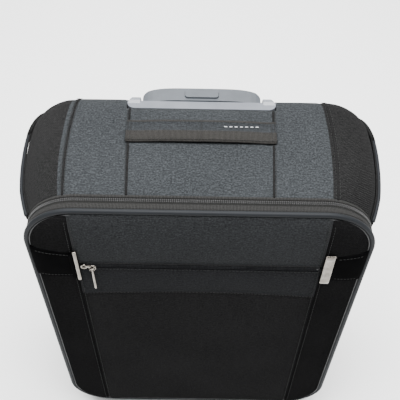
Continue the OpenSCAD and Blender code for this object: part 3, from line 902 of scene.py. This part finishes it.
def build_front():
    top, bottom = PANEL_HIGH, PANEL_LOW
    # the upper front panel wears the darker copy of the grey fabric that carries painted shade
    panel("front_upper", POCKET_Z + 1.6 * MM, top, 0, "shaded_front_fabric", ["front_upper_panel"])
    # the pocket panel wears the still darker copy of the grey fabric that carries painted shade
    panel("front_pocket", LOWER_SEAM_Z + 0.3 * MM, POCKET_Z - 1.6 * MM, 0, "shaded_pocket_fabric",
          ["front_middle_panel"])
    panel("front_lower", bottom, LOWER_SEAM_Z - 0.3 * MM, 0, "black_twill",
          ["front_lower_panel"])
    for side, name in ((-1, "left"), (1, "right")):
        # the side strips wear the darker copy of the black twill that carries painted shade
        panel(f"front_strip_{name}", bottom, top, side, "shaded_strip_twill", cap=1.5 * MM)
    for side, name in ((-1, "left"), (1, "right")):
        zs = spread([PANEL_LOW + 12 * MM, PANEL_HIGH - 12 * MM], 6 * MM)
        for shift, kind in ((-3 * MM, "inner"), (3 * MM, "outer")):
            points = [(side * (strip_x(z) + shift), front_y(strip_x(z) + shift, z) - 0.4 * MM, z)
                      for z in zs]
            places = along_path(points, [FRONT] * len(points), PANEL_STITCH_PITCH)
            stitches(f"strip_stitches_{kind}_{name}", places, PANEL_STITCH, "lid")
    xs = spread([-STRIP_SEAM + 4 * MM, STRIP_SEAM - 4 * MM], 6 * MM)
    for z, kind in ((LOWER_SEAM_Z + 3.2 * MM, "lower"), (POCKET_Z + 6 * MM, "pocket_upper"),
                    (POCKET_Z - 6 * MM, "pocket_lower")):
        points = [(x, front_y(x, z) - 0.9 * MM, z + seam_dip(z, x)) for x in xs]
        places = along_path(points, [FRONT] * len(points), PANEL_STITCH_PITCH)
        stitches(f"front_stitches_{kind}", places, PANEL_STITCH, "lid")


build_front()
bpy.context.view_layer.update()


def build_pocket_zip():
    """The front pocket's concealed zipper: two folded flaps over a coil, and its end stops."""
    x0, x1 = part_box("pocket_zip_tape")[0].x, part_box("pocket_zip_tape")[1].x
    xs = spread([x0, x1], 5 * MM)
    line = [(x, PANEL_Y + 1.6 * MM, POCKET_Z) for x in xs]
    up = [FRONT] * len(xs)
    tape = sweep("pocket_zip_tape", line, up, band_profile(-1 * MM, -0.2 * MM, 7 * MM), "lid", "zip_tape",
                 "zip_coil", closed=False)
    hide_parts("pocket_zip_tape")
    beads("pocket_zip_coil", [(place, (0, 0, 1), out) for place, _, out in along_path(line, up, 1.6 * MM)],
          (3.4 * MM, 1.1 * MM, 1.1 * MM), "lid", "zip_coil")
    for z, kind in ((1.3 * MM, "upper"), (-1.3 * MM, "lower")):
        lip = [(x, front_y(x, POCKET_Z) + 0.2 * MM, POCKET_Z + z) for x in xs]
        sweep(f"pocket_lip_{kind}", lip, up, round_profile(1.2 * MM, 1.2 * MM, 10), "lid",
              "shaded_pocket_fabric", "grey_fabric", closed=False)
    stops = [((x, PANEL_Y + 0.4 * MM, POCKET_Z), (0, 0, 1), (0, -1, 0)) for x in (x0 + 2 * MM, x1 - 2 * MM)]
    beads("pocket_zip_stops", stops, (4 * MM, 2.4 * MM, 1.4 * MM), "lid", "zip_coil")


def strap_surface(name, side, x_inner, z_low_inner, z_high_inner, z_low_outer, z_high_outer):
    """A strap tab that follows the lid's front from its edge inwards, with rolled edges."""
    rows, columns = 16, 10
    outer = HALF_W - 3 * MM
    verts, uvs = [], []
    for r in range(rows + 1):
        t = r / rows
        x = outer + (x_inner - outer) * t
        low = z_low_outer + (z_low_inner - z_low_outer) * t
        high = z_high_outer + (z_high_inner - z_high_outer) * t
        for c in range(columns + 1):
            s = c / columns
            z = low + (high - low) * s
            rolled = 1.1 * MM * (math.exp(-min(s, 1 - s) * 14))
            y = front_y(min(x, PANEL_HALF), z) - 2.0 * MM + rolled
            verts.append((side * x, y, z))
            uvs.append((x, z))
    obj = make_mesh(name, verts, grid_faces(rows + 1, columns + 1), "lid", "black_leather", uvs)
    turn_to(obj, FRONT)
    solidify(obj, 1.6 * MM)
    bevel(obj, 0.5 * MM, 2, 60)
    return obj


def build_straps():
    """Glossy coated tabs at the lid's sides: a bar end on the left, a folded plate end on the right."""
    low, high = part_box("strap_metal")[0].z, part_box("strap_metal")[1].z
    left = strap_surface("strap_left", -1, 141 * MM, low + 6 * MM, high - 6 * MM, low, high)
    strap_surface("strap_right", 1, 153 * MM, low + 5 * MM, high - 5 * MM, low, high)
    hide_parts("strap_tabs")
    for side, name, x_in in ((-1, "left", 146 * MM), (1, "right", 158 * MM)):
        places = []
        for edge in (low + 4.5 * MM, high - 4.5 * MM):
            drift = 4.5 * MM if edge < (low + high) / 2 else -4.5 * MM
            xs = spread([x_in, HALF_W - 8 * MM], 4 * MM)
            points = []
            for x in xs:
                t = (HALF_W - x) / (HALF_W - x_in)
                z = edge + drift * t
                points.append((side * x, front_y(min(x, PANEL_HALF), z) - 1.9 * MM, z))
            places += along_path(points, [FRONT] * len(points), 4.0 * MM)
        stitches(f"strap_stitches_{name}", places, PLAIN_STITCH, "lid")
    mid, count = (low + high) / 2, 30
    rod = [(-140 * MM, PANEL_Y - 2.2 * MM, low + (high - low) * i / count) for i in range(count + 1)]
    bar = sweep("strap_bar", rod, [FRONT] * len(rod), round_profile(1.5 * MM, 2.3 * MM, 16), "lid",
                "bright_metal", closed=False)
    bevel(bar, 1.0 * MM, 4, 60)
    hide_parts("strap_metal")
    fold = [(-144.5 * MM, PANEL_Y - 1.9 * MM, low + 5 * MM + (high - low - 10 * MM) * i / count)
            for i in range(count + 1)]
    sweep("strap_fold", fold, [FRONT] * len(fold), round_profile(1.5 * MM, 3.2 * MM, 14), "lid",
          "black_leather", closed=False)
    plate_verts, rows, columns = [], 24, 8
    for r in range(rows + 1):
        for c in range(columns + 1):
            u, v = 2 * c / columns - 1, 2 * r / rows - 1
            rim = 1.0 * MM if max(abs(u), abs(v)) > 0.74 and max(abs(u), abs(v)) < 0.95 else 0.0
            plate_verts.append((148 * MM + u * 5.8 * MM, PANEL_Y - 2.9 * MM - rim + 0.4 * MM * u * u,
                                mid + v * (high - low) / 2))
    plate = make_mesh("strap_plate", plate_verts, grid_faces(rows + 1, columns + 1), "lid", "bright_metal")
    turn_to(plate, FRONT)
    solidify(plate, 1.2 * MM)
    bevel(plate, 0.5 * MM, 3, 50)


build_pocket_zip()
build_straps()


# ---------------------------------------------------------------- zip pullers

def zip_slider(name, node, body, pin, along, out, length, width):
    """A slider: a waisted plate, two side rails and a bridge that holds the puller's pin."""
    along, out, pin = Vector(along), Vector(out), Vector(pin)
    across = along.cross(out).normalized()
    base = pin - out * 3.3 * MM
    outline = []
    for i in range(28):
        a = 2 * math.pi * i / 28
        waist = 0.5 + 0.16 * math.cos(2 * a)
        outline.append((math.cos(a) * length / 2, math.sin(a) * width * waist * 0.9))
    levels = ((0.0, 0.94), (0.25, 1.0), (1.0, 1.0), (1.35, 0.86))
    verts = [base + along * (u * k) + across * (v * k) + out * (h * MM)
             for h, k in levels for u, v in outline]
    count = len(outline)
    faces = grid_faces(len(levels), count, closed=True)
    faces += [tuple(reversed(range(count))), tuple(range((len(levels) - 1) * count, len(levels) * count))]
    plate = make_mesh(f"{name}_plate", verts, faces, body, "bright_metal")
    tidy_normals(plate)
    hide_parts(node)
    for k, end in ((-1, "a"), (1, "b")):
        arch = []
        for i in range(13):
            a = math.pi * i / 12
            arch.append(base + along * (math.cos(a) * 2.6 * MM) + across * (k * 2.6 * MM)
                        + out * (1.0 * MM + math.sin(a) * 3.0 * MM))
        sweep(f"{name}_lug_{end}", arch, [across] * 13, round_profile(0.45 * MM, 0.7 * MM, 8), body,
              "bright_metal", closed=False)
    pin_line = [pin + across * (2.9 * MM * (i / 4 - 1)) for i in range(9)]
    sweep(f"{name}_pin", pin_line, [out] * 9, round_profile(0.65 * MM, 0.65 * MM, 10), body, "bright_metal",
          closed=False)


def zip_puller(name, node, body, pin, down, out, length, flat):
    """A puller: an eye round the pin, a neck and a grip that thickens towards its end."""
    down, out, pin = Vector(down), Vector(out), Vector(pin)
    across = down.cross(out).normalized()
    eye = []
    for i in range(18):
        a = 2 * math.pi * i / 18
        eye.append((pin + down * (math.cos(a) * 1.5 * MM) + out * (math.sin(a) * 1.5 * MM),
                    down * math.cos(a) + out * math.sin(a)))
    ring = sweep(f"{name}_eye", *zip(*eye), round_profile(0.42 * MM, 1.5 * MM, 10), body, "bright_metal")
    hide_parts(node)
    steps, sides, verts = 26, 16, []
    for r in range(steps + 1):
        t = r / steps
        grow = 0.55 + 0.45 * min(1, max(0, (t - 0.06) / 0.22)) ** 0.7
        cap = math.sqrt(max(0.02, 1 - max(0, (t - 0.955) / 0.045) ** 2))
        ring_cut = 0.82 if 0.30 < t < 0.34 else 1.0
        thick = 1.25 * MM * grow * cap * ring_cut
        wide = (1.9 if flat else 1.55) * MM * grow * cap * ring_cut
        spot = pin + down * (1.7 * MM + (length - 1.7 * MM) * t)
        for c in range(sides):
            a = 2 * math.pi * c / sides
            verts.append(spot + out * (math.cos(a) * thick) + across * (math.sin(a) * wide))
    faces = grid_faces(steps + 1, sides, closed=True)
    faces += [tuple(range(sides)), tuple(reversed(range(steps * sides, (steps + 1) * sides)))]
    tidy_normals(make_mesh(f"{name}_grip", verts, faces, body, "bright_metal"))


JOINTS = {j["name"]: j for j in frame["joints"]}


def build_zip_metal():
    """The pocket's slider with its eyelet, link and puller, and the two sliders of the main zipper."""
    place = JOINTS["pocket_puller_swing"]["pos_m"]
    zip_slider("pocket_slider", "pocket_slider", "pocket_slider_body", place, (0, 0, 1), (0, -1, 0),
               9 * MM, 13 * MM)
    boss = Vector(place) + Vector((-9.5 * MM, 2.4 * MM, 2.5 * MM))
    ring = [(boss + Vector((math.cos(a) * 3.1 * MM, 0, math.sin(a) * 3.1 * MM)),
             Vector((math.cos(a), 0, math.sin(a)))) for a in (2 * math.pi * i / 24 for i in range(24))]
    sweep("pocket_slider_eyelet", *zip(*ring), round_profile(1.3 * MM, 1.1 * MM, 12),
          "pocket_slider_body", "bright_metal")
    link = [boss + Vector((3.5 * MM + 4.5 * MM * i / 8, 0, -0.2 * MM * i)) for i in range(9)]
    sweep("pocket_slider_link", link, [FRONT] * 9, round_profile(1.0 * MM, 1.9 * MM, 12),
          "pocket_slider_body", "bright_metal", closed=False)
    zip_puller("pocket_puller", "pocket_puller", "pocket_puller_body", place, (0, 0, -1), (0, -1, 0),
               42 * MM, False)
    for name, shift in (("upper", -2.8 * MM), ("lower", 2.8 * MM)):
        place = Vector(JOINTS[f"main_puller_{name}_swing"]["pos_m"]) + Vector((0, shift, 0))
        slider, puller = f"main_slider_{name}", f"main_puller_{name}"
        zip_slider(slider, slider, f"{slider}_body", place, (0, 0, 1), (1, 0, 0), 13 * MM, 11 * MM)
        zip_puller(puller, puller, f"{puller}_body", place, (0, 0, -1), (1, 0, 0), 30 * MM, True)


build_zip_metal()


# ---------------------------------------------------------------- carry handles

# Across the handle: from, to, and the material, 1 for the webbing that binds the edges
HANDLE_BANDS = ((-0.5, -0.05, 1), (-0.05, 0.35, 0), (0.35, 0.5, 1))
HANDLE_KNOTS = (-0.5, -0.48, -0.44, -0.34, -0.2, -0.07, -0.05, -0.03, 0.08, 0.2, 0.33, 0.35, 0.36, 0.38,
                0.44, 0.48, 0.5)
BAND_RISE = 0.9 * MM


def strap_lift(t):
    """How far the handle's underside is above the case, at a share t of the way to its end."""
    return 1.2 * MM + 1.7 * MM * max(0.0, 1 - (t / 0.8) ** 3)


def carry_strap(name, centre, length_axis, up_axis, half_length, width, nodes_replaced):
    """A flat carry handle: a fabric strip bound by webbing, its two ends sewn down to the case.
    It is made in two halves."""
    along, up = Vector(length_axis), Vector(up_axis)
    across = along.cross(up).normalized()
    centre = Vector(centre)
    stations = spread([0, half_length * 0.68, half_length], 3 * MM)
    thickness = 3.2 * MM
    for side, half in ((-1, "a"), (1, "b")):
        verts, uvs = [], []
        for s in stations:
            t = s / half_length
            lift = strap_lift(t)
            ripple = 0.35 * MM * soft_noise(s * side, 0.2, width, 60)
            for k in HANDLE_KNOTS:
                edge = 1.0 - math.exp(-(0.5 - abs(k)) * 22)
                band = BAND_RISE if k <= -0.05 or k >= 0.35 else 0.0
                h = thickness * (0.45 + 0.55 * edge) + band * edge + ripple
                verts.append(centre + along * (side * s) + across * (k * width) + up * (lift + h))
                uvs.append((s, k * width))
        faces = grid_faces(len(stations), len(HANDLE_KNOTS))
        obj = make_mesh(f"{name}_{half}", verts, faces, None, "handle_strip", uvs)
        obj.data.materials.append(LOOKS["handle_webbing"])
        for face in obj.data.polygons:
            k = (face.center - centre).dot(across) / width
            face.material_index = next(m for low, high, m in HANDLE_BANDS if low <= k <= high + 1e-6)
        turn_to(obj, up)
        solidify(obj, thickness)
        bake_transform(obj)
        if side == -1:
            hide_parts(*nodes_replaced)
        places = []
        for k in (-0.45, -0.09, 0.38):
            line = [centre + along * (side * s) + across * (k * width)
                    + up * (strap_lift(s / half_length) + thickness + BAND_RISE) for s in stations]
            places += along_path(line, [up] * len(line), 4.0 * MM)
        rows = stitches(f"{name}_stitches_{half}", places, PLAIN_STITCH, None)
        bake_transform(rows)
        tacks = []
        for s in (0.94, 0.975):
            a = centre + along * (side * s * half_length) - across * (0.44 * width) + up * 5.0 * MM
            b = centre + along * (side * s * half_length) + across * (0.44 * width) + up * 5.0 * MM
            tacks += along_path([a, b], [up, up], 3.0 * MM)
        stitches(f"{name}_tacks_{half}", tacks, (2.4 * MM, 0.6 * MM, 0.7 * MM), "case")


def build_handles():
    low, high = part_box("top_handle")
    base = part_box("shell_fabric")[1].z
    centre = (0, (low.y + high.y) / 2, base)
    carry_strap("top_handle", centre, (-1, 0, 0), (0, 0, 1), CENTRE_SEAM + 1 * MM,
                high.y - low.y, ["top_handle", "top_handle_ends"])
    row = [((46 * MM + i * 6 * MM, centre[1] + 5.0 * MM, base + 6.6 * MM), (1, 0, 0), (0, 0, 1))
           for i in range(-3, 4)]
    beads("top_handle_row", row, (3.8 * MM, 1.2 * MM, 0.6 * MM), "carry_handle", "pale_thread")
    low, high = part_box("side_handle")
    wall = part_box("side_handle_ends")[1].x
    centre = (wall + 0.6 * MM, (low.y + high.y) / 2, (low.z + high.z) / 2)
    carry_strap("side_handle", centre, (0, 0, 1), (-1, 0, 0), 94 * MM,
                high.y - low.y, ["side_handle", "side_handle_ends"])


build_handles()


# ---------------------------------------------------------------- inside

def build_lining():
    """Thin lining inside the shell, loose enough to ripple, cut away round the wheel pods."""
    inset = 7.6 * MM
    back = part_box("lining")[1].y - 0.5 * MM
    stations = []
    for y in spread([-70 * MM, 40 * MM, back - 3 * MM], 6 * MM) + [back]:
        half, low, high, radius = section_at(min(y, 45 * MM))
        turn = 4 * MM if y >= back - 0.1 * MM else 0
        d = inset + turn + max(0, (y - 30 * MM) * 0.22)
        stations.append((y, half - d, low + d, high - d, max(radius - d, 8 * MM)))
    half, low, high, radius = stations[-1][1:]
    for k in range(1, 15):
        d = k * 12 * MM
        if half - d > 6 * MM:
            stations.append((back, half - d, low + d, high - d, max(radius - d, 3 * MM)))
    verts, uvs, columns = [], [], 0
    for y, half, low, high, radius in stations:
        total = outline_length(half, low, high, radius)
        columns = 200
        for c in range(columns):
            d = -total + 2 * total * c / columns
            x, z, nx, nz = outline_point(half, low, high, radius, d)
            ripple = 1.2 * MM * soft_noise(x, y, z, 16) - 1.2 * MM
            if y < back - 1 * MM:
                x, z = x + nx * ripple, z + nz * ripple
                verts.append((x, y, z))
            else:
                verts.append((x, y + ripple * 0.5, z))
            uvs.append((d, y - half))
    faces = grid_faces(len(stations), columns, closed=True)
    last = (len(stations) - 1) * columns
    faces.append(tuple(last + c for c in range(columns)))
    lining = make_mesh("lining", verts, faces, "case", "lining", uvs)
    tidy_normals(lining)
    solidify(lining, 0.8 * MM, -1)
    cut_boxes(lining, pod_cuts(0.6 * MM))
    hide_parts("lining")


def build_packing_straps():
    low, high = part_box("packing_straps")
    mid = (low.z + high.z) / 2
    for side, name in ((-1, "left"), (1, "right")):
        xs = spread([20 * MM, high.x], 4 * MM)
        line = [(side * x, low.y + 0.4 * MM - 2.0 * MM * math.sin((x / high.x) * math.pi), mid) for x in xs]
        strap = sweep(f"packing_strap_{name}", line, [FRONT] * len(line),
                      band_profile(-0.8 * MM, 0.4 * MM, 25 * MM), "case", "black_webbing", closed=False)
        if side == 1:
            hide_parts("packing_straps")
    bevel(nodes["packing_buckle"], 1.6 * MM, 3)


def build_lid_inside():
    """Lid lining with a binding, and a mesh pocket with an elastic top edge."""
    columns, rows = 60, 70
    y0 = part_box("lid_lining")[1].y
    verts, uvs = [], []
    for r in range(rows + 1):
        z = PANEL_LOW + 2 * MM + (PANEL_HIGH - PANEL_LOW - 4 * MM) * r / rows
        w = half_width_at(z) - 1 * MM
        for c in range(columns + 1):
            x = -w + 2 * w * c / columns
            edge = min(edge_distance(x, z) / (18 * MM), 1)
            verts.append((x, y0 - 0.6 * MM + 0.9 * MM * edge * soft_noise(x, 0.9, z, 13), z))
            uvs.append((x, z))
    lining = make_mesh("lid_lining", verts, grid_faces(rows + 1, columns + 1), "lid", "lining", uvs)
    turn_to(lining, (0, 1, 0))
    solidify(lining, 0.8 * MM)
    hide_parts("lid_lining")
    low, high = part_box("lid_mesh_pocket")
    width, height = high.x - low.x, high.z - low.z
    verts, uvs = [], []
    rows, columns = 40, 60
    for r in range(rows + 1):
        for c in range(columns + 1):
            s, t = c / columns, r / rows
            belly = 3.2 * MM * math.sin(math.pi * s) * (t ** 0.6)
            gather = 0.7 * MM * math.sin(s * 70) * t ** 3
            verts.append((low.x + width * s, high.y + 0.2 * MM + belly + gather * 0.5, low.z + height * t))
            uvs.append((width * s, height * t))
    net = make_mesh("lid_mesh", verts, grid_faces(rows + 1, columns + 1), "lid", "mesh", uvs)
    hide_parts("lid_mesh_pocket")
    edge = [(low.x + width * s / 40, high.y + 0.4 * MM + 3.2 * MM * math.sin(math.pi * s / 40), high.z)
            for s in range(41)]
    sweep("lid_mesh_binding", edge, [(0, 1, 0)] * 41, band_profile(-0.6 * MM, 0.8 * MM, 12 * MM), "lid",
          "black_webbing", closed=False)
    border = [(x, high.y, z) for x, z in ((low.x, high.z), (low.x, low.z), (high.x, low.z), (high.x, high.z))]
    path = []
    for a, b in zip(border, border[1:]):
        path += [tuple(Vector(a).lerp(Vector(b), i / 30)) for i in range(30)]
    sweep("lid_mesh_border", path + [border[-1]], [(0, 1, 0)] * (len(path) + 1),
          band_profile(-0.6 * MM, 0.6 * MM, 9 * MM), "lid", "black_webbing", closed=False)


def build_hinge():
    """The fabric hinge under the case, from the shell's bottom edge to the lid's."""
    xs = spread([-130 * MM, 130 * MM], 8 * MM)
    ys = spread([-74 * MM, -91 * MM], -1.4 * MM)
    verts, uvs = [], []
    for y in ys:
        for x in xs:
            sag = 0.5 * MM * math.sin(math.pi * (y + 74 * MM) / (-17 * MM))
            verts.append((x, y, LOW - 1.4 * MM - sag))
            uvs.append((x, y))
    hinge = make_mesh("lid_hinge_fabric", verts, grid_faces(len(ys), len(xs)), None, "black_twill",
                      uvs)
    solidify(hinge, 0.9 * MM, 0)
    tidy_normals(hinge)
    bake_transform(hinge)


build_lining()
build_packing_straps()
build_lid_inside()
build_hinge()


# ---------------------------------------------------------------- hard parts kept from the frame

BEVELS = {
    "handle_housing": 1.6, "grip_lower": 1.5, "grip_upper": 2.2, "release_button": 1.2, "tube_collars": 0.8,
    "wheel_pod_left": 2.5, "wheel_pod_right": 2.5, "kick_plate": 1.4, "foot_left": 1.5, "foot_right": 1.5,
    "tube_bracket": 1.0, "housing_screws": 0.5, "foot_screws": 0.5, "wheel_hub_left": 0.7,
    "wheel_hub_right": 0.7, "wheel_tyre_left": 0.5, "wheel_tyre_right": 0.5, "outer_tube_left": 0.3,
    "outer_tube_right": 0.3, "middle_tubes": 0.3, "upper_tubes": 0.3,
}
SLOT_OF = {s["node"]: s["material_slot"] for s in frame["record"]["subparts"]}


def dress_nodes():
    """Every node that still shows gets the material of its slot, and its edges broken."""
    for name, obj in nodes.items():
        slot = SLOT_OF[name]
        obj.data.materials.clear()
        obj.data.materials.append(LOOKS["lip_plastic" if name == "handle_housing" else slot])
        if not obj.hide_render and name in BEVELS:
            bevel(obj, BEVELS[name] * MM, 3, 32)


dress_nodes()


def build_wheel_treads():
    """Two raised ribs round each tyre."""
    for name, body in (("left", "wheel_left"), ("right", "wheel_right")):
        low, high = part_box(f"wheel_tyre_{name}")
        centre = (low + high) / 2
        radius = (high.z - low.z) / 2
        count = 72
        for k in (-1, 1):
            points, outs = [], []
            for i in range(count):
                a = 2 * math.pi * i / count
                out = (0, math.cos(a), math.sin(a))
                points.append((centre.x + k * 5 * MM, centre.y + (radius - 0.1 * MM) * out[1],
                               centre.z + (radius - 0.1 * MM) * out[2]))
                outs.append(out)
            sweep(f"tread_{name}_{'inner' if k < 0 else 'outer'}", points, outs,
                  round_profile(0.35 * MM, 1.6 * MM, 8), body, "tyre")


build_wheel_treads()


# ---------------------------------------------------------------- floor, light and camera

def build_stage():
    size = 4.0
    corners = [(x * size, y * size, 0) for x, y in ((-1, -1), (1, -1), (1, 1), (-1, 1))]
    mesh = bpy.data.meshes.new("floor")
    mesh.from_pydata(corners, [], [(0, 1, 2, 3)])
    floor = bpy.data.objects.new("floor", mesh)
    bpy.context.scene.collection.objects.link(floor)
    look = Look("floor", roughness=0.9)
    look.colour((0.95, 0.955, 0.95))
    floor.data.materials.append(look.material)


def add_light(name, place, target, size, power):
    data = bpy.data.lights.new(name, "AREA")
    data.shape = "RECTANGLE"
    data.size, data.size_y = size
    data.energy = power
    light = bpy.data.objects.new(name, data)
    bpy.context.scene.collection.objects.link(light)
    light.location = place
    light.rotation_euler = (Vector(target) - Vector(place)).to_track_quat("-Z", "Y").to_euler()


def build_lights():
    world = bpy.data.worlds.new("studio")
    bpy.context.scene.world = world
    world.use_nodes = True
    background = world.node_tree.nodes["Background"]
    background.inputs["Color"].default_value = (0.97, 0.98, 1.0, 1)
    background.inputs["Strength"].default_value = 0.56
    add_light("key", (0.0, -0.1, 2.4), (0, 0.05, 0.3), (2.0, 1.6), 225)
    add_light("back_rim", (0.0, 1.9, 1.3), (0, 0.1, 0.45), (2.2, 0.8), 30)


def build_camera():
    data = bpy.data.cameras.new("camera")
    data.sensor_width = 36
    data.lens = 61.5
    camera = bpy.data.objects.new("camera", data)
    bpy.context.scene.collection.objects.link(camera)
    pitch, roll = math.radians(52), math.radians(1.0)
    camera.matrix_world = (Matrix.Translation((0.0, -0.530, 1.114))
                           @ Matrix.Rotation(math.pi / 2 - pitch, 4, "X") @ Matrix.Rotation(roll, 4, "Z"))
    bpy.context.scene.camera = camera


build_stage()
build_lights()
build_camera()
